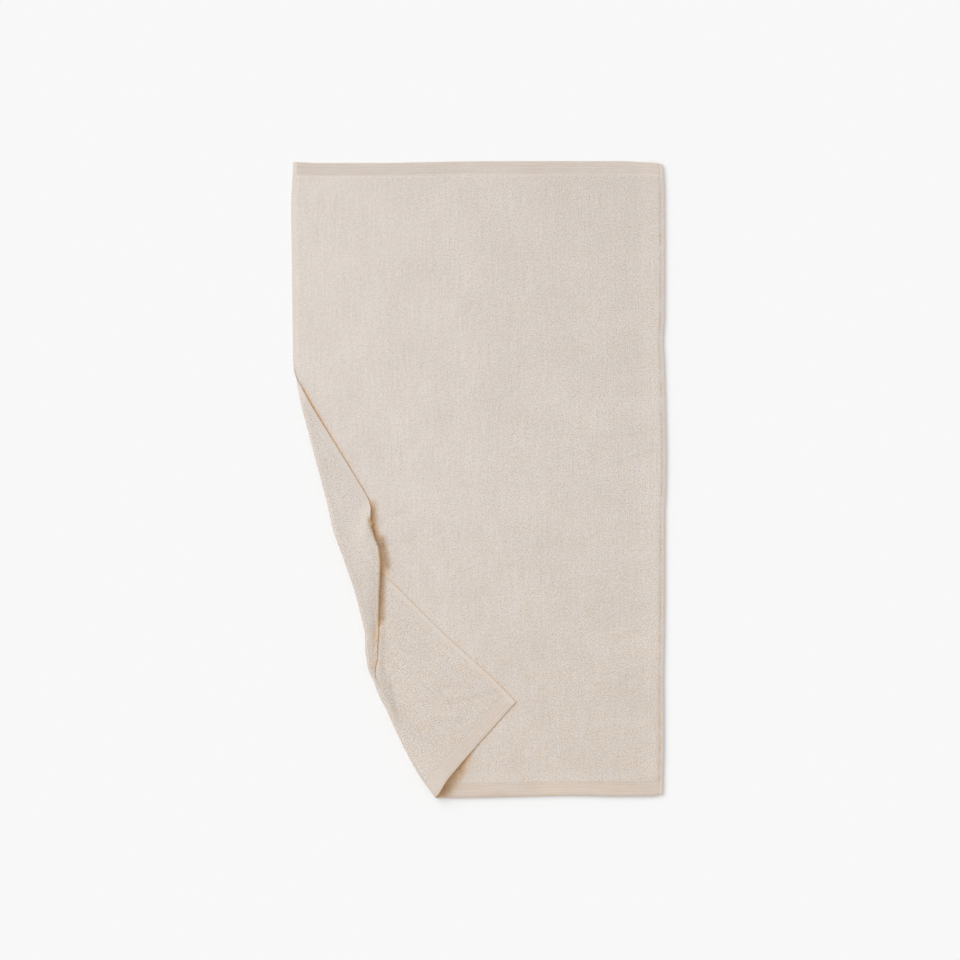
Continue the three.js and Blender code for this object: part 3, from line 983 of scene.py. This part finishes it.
    @staticmethod
    def _quads(index: Array, under: int) -> Array:
        """Returns the faces of the closed sheet, with their corners in outward order.

        Args:
            index: the number of each grid point on the upper skin.
            under: what is added to it for the same point on the under skin.

        Returns:
            Four corner numbers for each face.
        """
        a, b = index[:-1, :-1], index[1:, :-1]
        c, d = index[1:, 1:], index[:-1, 1:]
        upper = np.stack([a, b, c, d], 2).reshape(-1, 4)
        lower = upper[:, ::-1] + under
        walls = []
        for first, second in (
            (index[0, :-1], index[0, 1:]),
            (index[-1, 1:], index[-1, :-1]),
            (index[1:, 0], index[:-1, 0]),
            (index[:-1, -1], index[1:, -1]),
        ):
            walls.append(np.stack([first, second, second + under, first + under], 1))
        return np.concatenate([upper, lower, *walls])

    def _add_maps(self, mesh: bpy.types.Mesh, quads: Array, flat: Array) -> None:
        """Adds the two UV maps: the place in the flat cloth in metres, and one with no overlap.

        Args:
            mesh: the sheet's mesh.
            quads: its faces.
            flat: the place of each grid point in the flat cloth, in metres from its middle.
        """
        count = len(flat)
        half = np.array([self.cloth.half_width, self.cloth.half_length]) * MM
        corners = quads.ravel()
        place = flat[corners % count] + half
        cloth_map = mesh.uv_layers.new(name=CLOTH_MAP)
        cloth_map.uv.foreach_set("vector", place.astype(np.float32).ravel())
        room = 2 * half[0] * 2 + 3 * BAKE_GAP
        apart = place + BAKE_GAP
        cells = (self.flat_x.shape[0] - 1) * (self.flat_x.shape[1] - 1)
        on_under = (corners >= count) & (np.arange(len(corners)) // 4 < 2 * cells)
        apart[on_under, 0] = 2 * half[0] * 2 + 2 * BAKE_GAP - place[on_under, 0]
        wall_under = (corners >= count) & ~on_under
        at = flat[corners % count]
        outward = np.sign(at) * (np.abs(np.abs(at) - half) < TOUCHING)
        apart[wall_under] += outward[wall_under] * BAKE_GAP / 4
        bake_map = mesh.uv_layers.new(name=BAKE_MAP)
        bake_map.uv.foreach_set("vector", (apart / room).astype(np.float32).ravel())
        mesh.uv_layers.active = cloth_map

    def _add_painted_shade(self, mesh: bpy.types.Mesh, quads: Array) -> None:
        """Adds a layer of painted shade, for how much of the light the cloth keeps from each point.

        Args:
            mesh: the sheet's mesh.
            quads: its faces.
        """
        sizes = self.painted_shade
        points = np.concatenate([self.skins[skin].reshape(-1, 3) for skin in Skin])
        normals = np.empty(len(points) * 3, np.float32)
        mesh.vertex_normals.foreach_get("vector", normals)
        normals = normals.reshape(-1, 3).astype(float)
        side = unit(np.cross(normals, SIDEWAYS_HINT))
        other = np.cross(normals, side)
        tree = BVHTree.FromPolygons(points.tolist(), quads.tolist())
        near = np.flatnonzero((points[:, 0] < sizes.east) & (points[:, 1] < sizes.north))
        starts = [Vector(point) for point in points[near] + normals[near] * sizes.lift]
        blocked = np.zeros(len(points))
        for index in range(sizes.rays):
            share = (index + 0.5) / sizes.rays
            level, angle = math.sqrt(share), index * GOLDEN_ANGLE
            rays = normals * math.sqrt(1 - share)
            rays += level * (side * math.cos(angle) + other * math.sin(angle))
            hits = [
                tree.ray_cast(start, Vector(ray), sizes.reach)[3] or 0
                for start, ray in zip(starts, rays[near].tolist())
            ]
            blocked[near] += np.minimum(np.array(hits) / sizes.near, 1)
        grid = (blocked / sizes.rays).reshape(len(Skin), *self.flat_x.shape)
        evened = (2 * grid + sum(neighbours(grid, 2)) + sum(neighbours(grid, 1))) / 6
        # Painted shade where the cloth's own folds keep the light off.
        painted_in_shade = smooth((evened - sizes.start) / (sizes.full - sizes.start))
        # Painted shade, too, where the cloth faces away from the light.
        from_light = np.array([math.cos(sizes.away_azimuth), math.sin(sizes.away_azimuth), 0.0])
        away = normals @ from_light
        painted_away_shade = np.zeros(len(points))
        away_span = sizes.away_full - sizes.away_start
        painted_away_shade[near] = smooth((away[near] - sizes.away_start) / away_span)
        painted_in_shade = np.maximum(painted_in_shade, painted_away_shade.reshape(painted_in_shade.shape))
        self._add_layer(mesh, PAINTED_SHADE_LAYER, painted_in_shade)

    @staticmethod
    def _add_layer(mesh: bpy.types.Mesh, name: str, values: Array) -> None:
        """Adds a layer of values to the mesh.

        Args:
            mesh: the sheet's mesh.
            name: the layer's name.
            values: the values of both skins, or of one grid that they share.
        """
        both = np.broadcast_to(values, (len(Skin), *values.shape[-2:]))
        layer = mesh.attributes.new(name, "FLOAT", "POINT")
        layer.data.foreach_set("value", both.astype(np.float32).ravel())

    def hem_line(self, end: int, skin: Skin, places: Array) -> tuple[Array, Array]:
        """Returns points along a hem's stitch line and the way out of the cloth there.

        Args:
            end: 1 for the top hem and -1 for the bottom one.
            skin: the skin that the stitches show on.
            places: the x of each point in the flat cloth, in mm.

        Returns:
            Points and outward normals, each as rows of x, y, z in mm.
        """
        wanted = end * (self.cloth.half_length - self.stitch_from_end)
        row = int(np.argmin(np.abs(self.flat_y[:, 0] - wanted)))
        line = self.skins[skin][row]
        out = unit(line - self.skins[Skin(-skin.value)][row])
        at = self.flat_x[row]
        points, normals = (
            np.stack([np.interp(places, at, column) for column in values.T], 1)
            for values in (line, out)
        )
        return points, unit(normals)


@dataclass
class HemStitches:
    """The row of stitches that holds each hem, on both skins, in mm."""

    pitch: float = 3.2
    length: float = 2.6
    thread: float = 0.5
    end_share: float = 0.45
    sides: int = 5
    steps: int = 4
    from_side: float = 4

    def build(self, sheet: ClothSheet) -> bpy.types.Object:
        """Makes all the stitches as one mesh on the sheet's skins.

        Args:
            sheet: the cloth that they are sewn in.

        Returns:
            The stitches' object, at the origin.
        """
        half = sheet.cloth.half_width - self.from_side
        starts = np.arange(-half, half - self.length, self.pitch)
        points, faces = [], []
        for end in (1, -1):
            for skin in Skin:
                self._add_row(sheet, end, skin, starts, points, faces)
        mesh = bpy.data.meshes.new("hem_stitches")
        mesh.from_pydata([tuple(point * MM) for point in np.concatenate(points)], [], faces)
        mesh.polygons.foreach_set("use_smooth", [True] * len(mesh.polygons))
        mesh.update()
        return add_object("hem_stitches", mesh)

    def _add_row(
        self,
        sheet: ClothSheet,
        end: int,
        skin: Skin,
        starts: Array,
        points: list[Array],
        faces: list[list[int]],
    ) -> None:
        """Adds one row of stitches to the lists of points and faces.

        Args:
            sheet: the cloth that they are sewn in.
            end: 1 for the top hem and -1 for the bottom one.
            skin: the skin that they show on.
            starts: the x of each stitch's start in the flat cloth.
            points: the mesh's points so far.
            faces: the mesh's faces so far.
        """
        shares = np.linspace(0, 1, self.steps)
        for start in starts:
            at, out = sheet.hem_line(end, skin, start + shares * self.length)
            side = np.cross(unit(np.gradient(at, axis=0)), out)
            arch = np.sin(shares * math.pi)[:, None]
            middle = at + out * (arch * self.thread / 2 - self.thread / 4)
            girth = self.thread / 2 * blend(self.end_share, 1, arch)
            first = sum(len(part) for part in points)
            ring = []
            for k in range(self.sides):
                angle = TURN * k / self.sides
                ring.append(middle + girth * (side * math.cos(angle) + out * math.sin(angle)))
            around = np.stack(ring, 1).reshape(-1, 3)
            around[:, 2] = np.maximum(around[:, 2], 0)
            points.append(around)
            for step in range(self.steps - 1):
                for k in range(self.sides):
                    a = first + step * self.sides + k
                    b = first + step * self.sides + (k + 1) % self.sides
                    faces.append([a, a + self.sides, b + self.sides, b])
            faces.append([first + k for k in range(self.sides)])
            last = first + (self.steps - 1) * self.sides
            faces.append([last + k for k in reversed(range(self.sides))])


class Value:
    """A shader socket that takes part in plain arithmetic."""

    def __init__(self, bench: NodeBench, socket: bpy.types.NodeSocket) -> None:
        """Keeps the socket and the bench that it is on."""
        self.bench = bench
        self.socket = socket

    def __add__(self, other: Value | float) -> Value:
        """Returns the sum."""
        return self.bench.maths("ADD", self, other)

    __radd__ = __add__

    def __sub__(self, other: Value | float) -> Value:
        """Returns the difference."""
        return self.bench.maths("SUBTRACT", self, other)

    def __rsub__(self, other: float) -> Value:
        """Returns a number less this."""
        return self.bench.maths("SUBTRACT", other, self)

    def __mul__(self, other: Value | float) -> Value:
        """Returns the product."""
        return self.bench.maths("MULTIPLY", self, other)

    __rmul__ = __mul__

    def __truediv__(self, other: Value | float) -> Value:
        """Returns the quotient."""
        return self.bench.maths("DIVIDE", self, other)

    def __abs__(self) -> Value:
        """Returns the size without the sign."""
        return self.bench.maths("ABSOLUTE", self)


class NodeBench:
    """Makes the nodes of one material."""

    def __init__(self, material: bpy.types.Material) -> None:
        """Clears the material's nodes.

        Args:
            material: the material.
        """
        material.use_nodes = True
        self.tree = material.node_tree
        self.tree.nodes.clear()

    def node(self, kind: str, settings: dict[str, object], sockets: Sockets) -> bpy.types.Node:
        """Adds a node.

        Args:
            kind: the node's type.
            settings: its own settings, which are set first.
            sockets: a value or a Value for each input, by its name or number.

        Returns:
            The node.
        """
        made = self.tree.nodes.new(kind)
        for name, value in settings.items():
            setattr(made, name, value)
        for name, value in sockets.items():
            if isinstance(value, Value):
                self.tree.links.new(value.socket, made.inputs[name])
            else:
                made.inputs[name].default_value = value
        return made

    def value(
        self, kind: str, settings: dict[str, object], sockets: Sockets, output: int | str = 0
    ) -> Value:
        """Adds a node and returns one of its outputs."""
        return Value(self, self.node(kind, settings, sockets).outputs[output])

    def maths(self, operation: str, *values: Value | float) -> Value:
        """Adds a Math node for an operation."""
        return self.value("ShaderNodeMath", {"operation": operation}, dict(enumerate(values)))

    def step(self, value: Value, start: float, end: float) -> Value:
        """Returns a soft step of a value, from 0 at start to 1 at end."""
        sockets = {"Value": value, "From Min": start, "From Max": end}
        return self.value("ShaderNodeMapRange", {"interpolation_type": "SMOOTHSTEP"}, sockets)

    def mix(
        self, share: Value | float, first: object, second: object, blending: str = "MIX"
    ) -> Value:
        """Returns a mix of two colours."""
        settings = {"data_type": "RGBA", "clamp_factor": True, "blend_type": blending}
        return self.value("ShaderNodeMix", settings, {0: share, 6: first, 7: second}, 2)

    def point(self, x: Value | float, y: Value | float) -> Value:
        """Returns a vector of two values."""
        return self.value("ShaderNodeCombineXYZ", {}, {"X": x, "Y": y})

    def noise(self, x: Value, y: Value, detail: float = 2.0, roughness: float = 0.5) -> Value:
        """Makes soft noise about 0, whose features are one unit across.

        Args:
            x: the place across.
            y: the place along.
            detail: how many finer patterns are added.
            roughness: how strong each of those is.

        Returns:
            The noise.
        """
        place = self.point(x, y)
        sockets = {"Vector": place, "Scale": 1.0, "Detail": detail, "Roughness": roughness}
        return self.value("ShaderNodeTexNoise", {"noise_dimensions": "2D"}, sockets, "Fac") - 0.5

    def in_mm(self, place: Value) -> tuple[Value, Value]:
        """Returns the x and the y in mm of a place in metres."""
        made = self.node("ShaderNodeSeparateXYZ", {}, {0: place})
        return Value(self, made.outputs["X"]) / MM, Value(self, made.outputs["Y"]) / MM

    def layer(self, name: str) -> Value:
        """Returns a layer of values that the mesh carries."""
        settings = {"attribute_type": "GEOMETRY", "attribute_name": name}
        return self.value("ShaderNodeAttribute", settings, {}, "Fac")

    def surface(self, sockets: Sockets) -> None:
        """Adds the surface and the material's output."""
        made = self.node("ShaderNodeBsdfPrincipled", {}, sockets)
        self.node("ShaderNodeOutputMaterial", {}, {"Surface": Value(self, made.outputs[0])})


@dataclass(frozen=True)
class TerryFinish:
    """The look of the cloth: linear colours and sizes in mm.

    A tone says how much a pattern lightens the cloth and a height how much it lifts the bump. A
    word such as top or right says what is added for each length or width of cloth that way.
    """

    light: Colour = (0.83, 0.764, 0.716, 1)
    deep: Colour = (0.60, 0.54, 0.488, 1)
    woven_light: Colour = (0.80, 0.725, 0.665, 1)
    woven_deep: Colour = (0.65, 0.565, 0.495, 1)
    # Painted shade tints: a warm one where the cloth's own folds keep the light off, and a deeper
    # one for the marks' deep hollows.
    painted_in_shade: Colour = (1.1, 0.82, 0.5, 1)
    painted_hollow_shade: Colour = (0.6, 0.46, 0.30, 1)
    warm: Colour = (1.0, 0.947, 0.89, 1)
    roughness: float = 0.95
    specular: float = 0.2
    sheen: float = 0.02
    sheen_roughness: float = 0.5
    bump: float = 0.6
    step_blur: float = 1
    loop_across: float = 2.1
    loop_along: float = 2.4
    loop_middle: float = 0.4
    loop_randomness: float = 0.9
    loop_height: float = 1.0
    loop_tone: float = 1.15
    loop_tone_right: float = 1.1
    loop_tone_bottom: float = 0.25
    loop_tone_turned: float = 0.6
    pile_lightness: float = 0.55
    ends_darker: float = 0.3
    # Painted shade: the pile darkens towards the right, more so in the upper half.
    painted_shade_right: float = 0.24
    painted_shade_top_right: float = 0.3
    turned_shift: float = 0.2
    turned_shift_bottom: float = 0.6
    fine_detail: float = 3
    tuft_size: float = 5.5
    tuft_tone: float = 0.5
    tuft_height: float = 0.8
    streak_across: float = 4.0
    streak_along: float = 70.0
    streak_tone: float = 0.35
    cloud_size: float = 90.0
    cloud_tone: float = 0.3
    blush_size: float = 26.0
    blush_roughness: float = 0.6
    blush: float = 1.1
    blush_bottom: float = 1.4
    blush_right: float = 0.6
    blush_turned: float = 0.7
    warmth: float = 0.3
    warmth_bottom: float = 0.9
    woven_warmth: float = 0.05
    woven_warmth_bottom: float = 0.25
    woven_lightness: float = 0.52
    woven_cloud_tone: float = 0.4
    strand_along: float = 60.0
    strand_across: float = 2.6
    strand_tone: float = 0.7
    rib: float = 5.7
    rib_tone: float = 0.1
    rib_height: float = 0.1
    thread: float = 0.9
    weave_tone: float = 0.25
    weave_height: float = 0.2
    selvedge_tone: float = 0.6
    turned_tone: float = 0.3
    # Painted shadow where the pile steps down to the right selvedge, uneven with the blush.
    painted_seam_shadow: float = 1.3
    painted_seam_shadow_tint: Colour = (0.84, 0.75, 0.65, 1)
    painted_seam_shadow_strength: float = 0.55
    painted_seam_shadow_blush: float = 2

    def material(self, cloth: ClothSizes) -> bpy.types.Material:
        """Makes the material.

        Args:
            cloth: the sizes that say where the bands and the selvedges are.

        Returns:
            The material, which reads the place in the flat cloth from the sheet's own map.
        """
        material = bpy.data.materials.new("terry")
        bench = NodeBench(material)
        x, y = bench.in_mm(bench.value("ShaderNodeUVMap", {"uv_map": CLOTH_MAP}, {}))
        x, y = x - cloth.half_width, y - cloth.half_length
        from_end = cloth.half_length - abs(y)
        from_side = cloth.half_width - abs(x)
        past_band, past_selvedge = (
            bench.step(away, width - self.step_blur, width + self.step_blur)
            for away, width in ((from_end, cloth.band_width), (from_side, cloth.selvedge_width))
        )
        pile = past_band * past_selvedge
        turned = bench.layer(TURNED_LAYER)
        # The marks' painted light and shade, and the painted shade along the fold.
        marks = bench.layer(PAINTED_LIGHT_AND_TONE_LAYER)
        up = y / cloth.length
        below = bench.maths("MAXIMUM", up * -1, 0.0)
        shift = self.turned_shift + below * self.turned_shift_bottom
        from_left = x / cloth.width + turned * shift

        loops = self._loops(bench, x, y)
        tufts = bench.noise(x / self.tuft_size, y / self.tuft_size, self.fine_detail)
        streaks = bench.noise(x / self.streak_across, y / self.streak_along)
        clouds = bench.noise(x / self.cloud_size, y / self.cloud_size)
        # Painted shade: the pile darkens towards the right, more so in the upper half, besides the
        # marks' painted light and shade and a darkening towards both ends.
        darker = self.painted_shade_right + bench.maths("MAXIMUM", up, 0.0) * self.painted_shade_top_right
        tone = marks - up * up * self.ends_darker - from_left * darker
        grain = self.loop_tone + from_left * self.loop_tone_right - up * self.loop_tone_bottom
        lit = self.pile_lightness + loops * (grain + turned * self.loop_tone_turned)
        lit = lit + tufts * self.tuft_tone + streaks * self.streak_tone + clouds * self.cloud_tone
        pile_colour = bench.mix(lit + tone, self.deep, self.light)

        weave = self._weave(bench, x, y)
        ribs = bench.maths("SINE", from_end * (TURN / self.rib))
        strands = bench.noise(x / self.strand_along, from_end / self.strand_across)
        woven_lit = self.woven_lightness + weave * self.weave_tone + ribs * self.rib_tone
        woven_lit = woven_lit + strands * self.strand_tone + clouds * self.woven_cloud_tone
        woven_lit = woven_lit + (1 - past_selvedge) * self.selvedge_tone + turned * self.turned_tone
        woven_colour = bench.mix(woven_lit + marks, self.woven_deep, self.woven_light)
        plain_colour = bench.mix(pile, woven_colour, pile_colour)

        blush = bench.noise(
            x / self.blush_size, y / self.blush_size, self.fine_detail, self.blush_roughness
        )
        flush = self.blush - up * self.blush_bottom + from_left * self.blush_right
        flush = flush + turned * self.blush_turned
        warmth = self.warmth + blush * flush + below * self.warmth_bottom
        woven_warmth = self.woven_warmth - up * self.woven_warmth_bottom
        warmth = warmth + (1 - pile) * (1 - turned) * woven_warmth
        warm_colour = bench.mix(warmth, plain_colour, self.warm, "MULTIPLY")
        # Painted shadow where the pile steps down to the right selvedge.
        painted_seam_shadow_at = (cloth.half_width - cloth.selvedge_width - x) / self.painted_seam_shadow
        painted_seam_shadow = bench.maths("EXPONENT", painted_seam_shadow_at * painted_seam_shadow_at * -1)
        painted_seam_shadow = painted_seam_shadow * (self.painted_seam_shadow_strength + blush * self.painted_seam_shadow_blush)
        colour_with_seam_shadow = bench.mix(painted_seam_shadow, warm_colour, self.painted_seam_shadow_tint, "MULTIPLY")
        # Painted shade: a warm tint where the cloth's own folds keep the light off and where it
        # faces away from the light, and a deeper one in the marks' hollows.
        shade = bench.layer(SHADE_LAYER)
        painted_shade = bench.layer(PAINTED_SHADE_LAYER) * (1 - shade)
        painted_shade_colour = bench.mix(painted_shade, colour_with_seam_shadow, self.painted_in_shade, "MULTIPLY")
        colour = bench.mix(shade, painted_shade_colour, self.painted_hollow_shade, "MULTIPLY")

        pile_height = loops * self.loop_height + tufts * self.tuft_height
        woven_height = weave * self.weave_height + ribs * self.rib_height
        height = pile * pile_height + (1 - pile) * woven_height
        relief = {"Strength": self.bump, "Distance": MM, "Height": height}
        bench.surface({
            "Base Color": colour,
            "Roughness": self.roughness,
            "Normal": bench.value("ShaderNodeBump", {}, relief),
            "Sheen Weight": self.sheen,
            "Sheen Roughness": self.sheen_roughness,
            "Specular IOR Level": self.specular,
        })
        return material

    def _loops(self, bench: NodeBench, x: Value, y: Value) -> Value:
        """Makes the pile's loops, as rounded cells.

        Args:
            bench: the material's nodes.
            x: the place across the flat cloth, in mm.
            y: the place along it, in mm.

        Returns:
            Their height about 0.
        """
        place = bench.point(x / self.loop_across, y / self.loop_along)
        sockets = {"Vector": place, "Scale": 1.0, "Randomness": self.loop_randomness}
        settings = {"voronoi_dimensions": "2D", "feature": "F1"}
        return self.loop_middle - bench.value("ShaderNodeTexVoronoi", settings, sockets, "Distance")

    def _weave(self, bench: NodeBench, x: Value, y: Value) -> Value:
        """Returns the height of a plain weave's threads about 0."""
        across, along = (bench.maths("SINE", value * (TURN / self.thread)) for value in (x, y))
        return across * along


@dataclass(frozen=True)
class ThreadFinish:
    """The look of the sewing thread, with its twist in mm."""

    colour: Colour = (0.76, 0.68, 0.60, 1)
    roughness: float = 0.7
    groove: float = 0.85
    twist: float = 0.5
    twist_tone: float = 0.3

    def material(self) -> bpy.types.Material:
        """Makes the material.

        Returns:
            The material, whose twist lies on the object's own coordinates.
        """
        material = bpy.data.materials.new("hem_thread")
        bench = NodeBench(material)
        x, y = bench.in_mm(bench.value("ShaderNodeTexCoord", {}, {}, "Object"))
        twist = bench.maths("SINE", (x + y) * (TURN / self.twist))
        grooves = tuple(self.groove * part for part in self.colour[:3]) + (1,)
        colour = bench.mix(0.5 + twist * self.twist_tone, grooves, self.colour)
        bench.surface({"Base Color": colour, "Roughness": self.roughness})
        return material


@dataclass
class Towel:
    """The whole towel: its sheet and its sewing."""

    sheet: ClothSheet = field(default_factory=ClothSheet)
    stitches: HemStitches = field(default_factory=HemStitches)
    terry: TerryFinish = field(default_factory=TerryFinish)
    thread: ThreadFinish = field(default_factory=ThreadFinish)

    def build(self) -> None:
        """Makes the pieces over the solid."""
        low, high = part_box("towel")
        centre = (Vector(low) + Vector(high)) / 2
        self.cloth_piece = self.sheet.build(centre)
        self.stitch_piece = self.stitches.build(self.sheet)

    def dress(self) -> None:
        """Gives each piece its material and ties it to the frame."""
        self.cloth_piece.data.materials.append(self.terry.material(self.sheet.cloth))
        self.stitch_piece.data.materials.append(self.thread.material())
        for piece in (self.cloth_piece, self.stitch_piece):
            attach(piece, "root")
            LOG.info("%s: %d faces", piece.name, len(piece.data.polygons))
        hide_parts("towel")


@dataclass
class Studio:
    """The floor, the lights and the camera, in metres.

    The floor gives off a little light of its own, so that it isn't too dark beside the cloth.
    """

    floor_size: float = 12
    floor_level: float = -0.0004
    floor_colour: Colour = (0.78, 0.78, 0.78, 1)
    floor_glow_colour: Colour = (1, 1, 1, 1)
    floor_glow: float = 0.165
    camera_height: float = 4.284
    camera_x: float = 0.00265
    camera_y: float = -0.0013
    lens: float = 85
    sun_strength: float = 1.72
    sun_softness: float = math.radians(46)
    sun_elevation: float = math.radians(47)
    sun_azimuth: float = math.radians(138)
    sun_colour: tuple[float, float, float] = (1.0, 0.985, 0.96)
    sky_strength: float = 0.61
    sky_colour: Colour = (0.97, 0.985, 1.0, 1)

    def build(self) -> None:
        """Makes the floor, the lights and the camera."""
        self._floor()
        self._lights()
        self._camera()
        bpy.context.scene.view_settings.view_transform = "Standard"

    def _floor(self) -> None:
        """Makes the plain pale floor."""
        bpy.ops.object.select_all(action="DESELECT")
        bpy.ops.mesh.primitive_plane_add(size=self.floor_size, location=(0, 0, self.floor_level))
        floor = bpy.context.object
        floor.name = "floor"
        bpy.ops.object.transform_apply(location=True, rotation=False, scale=False)
        material = bpy.data.materials.new("floor")
        NodeBench(material).surface({
            "Base Color": self.floor_colour,
            "Roughness": 1.0,
            "Specular IOR Level": 0.0,
            "Emission Color": self.floor_glow_colour,
            "Emission Strength": self.floor_glow,
        })
        floor.data.materials.append(material)

    def _lights(self) -> None:
        """Makes one soft key light from the upper left and an even sky."""
        sun = bpy.data.lights.new("key", "SUN")
        sun.energy = self.sun_strength
        sun.angle = self.sun_softness
        sun.color = self.sun_colour
        lamp = add_object("key", sun)
        level = math.cos(self.sun_elevation)
        towards = Vector((
            level * math.cos(self.sun_azimuth),
            level * math.sin(self.sun_azimuth),
            math.sin(self.sun_elevation),
        ))
        lamp.rotation_mode = "QUATERNION"
        lamp.rotation_quaternion = towards.to_track_quat("Z", "Y")
        world = bpy.data.worlds.new("sky")
        world.use_nodes = True
        background = world.node_tree.nodes["Background"]
        background.inputs["Color"].default_value = self.sky_colour
        background.inputs["Strength"].default_value = self.sky_strength
        bpy.context.scene.world = world

    def _camera(self) -> None:
        """Makes the camera, which looks straight down."""
        data = bpy.data.cameras.new("camera")
        data.lens = self.lens
        camera = add_object("camera", data)
        camera.location = (self.camera_x, self.camera_y, self.camera_height)
        bpy.context.scene.camera = camera


def main() -> None:
    """Builds and dresses the towel."""
    logging.basicConfig(level=logging.INFO, format="%(name)s: %(message)s")
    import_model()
    towel = Towel()
    towel.build()
    towel.dress()
    Studio().build()


if __name__ == "__main__":
    main()
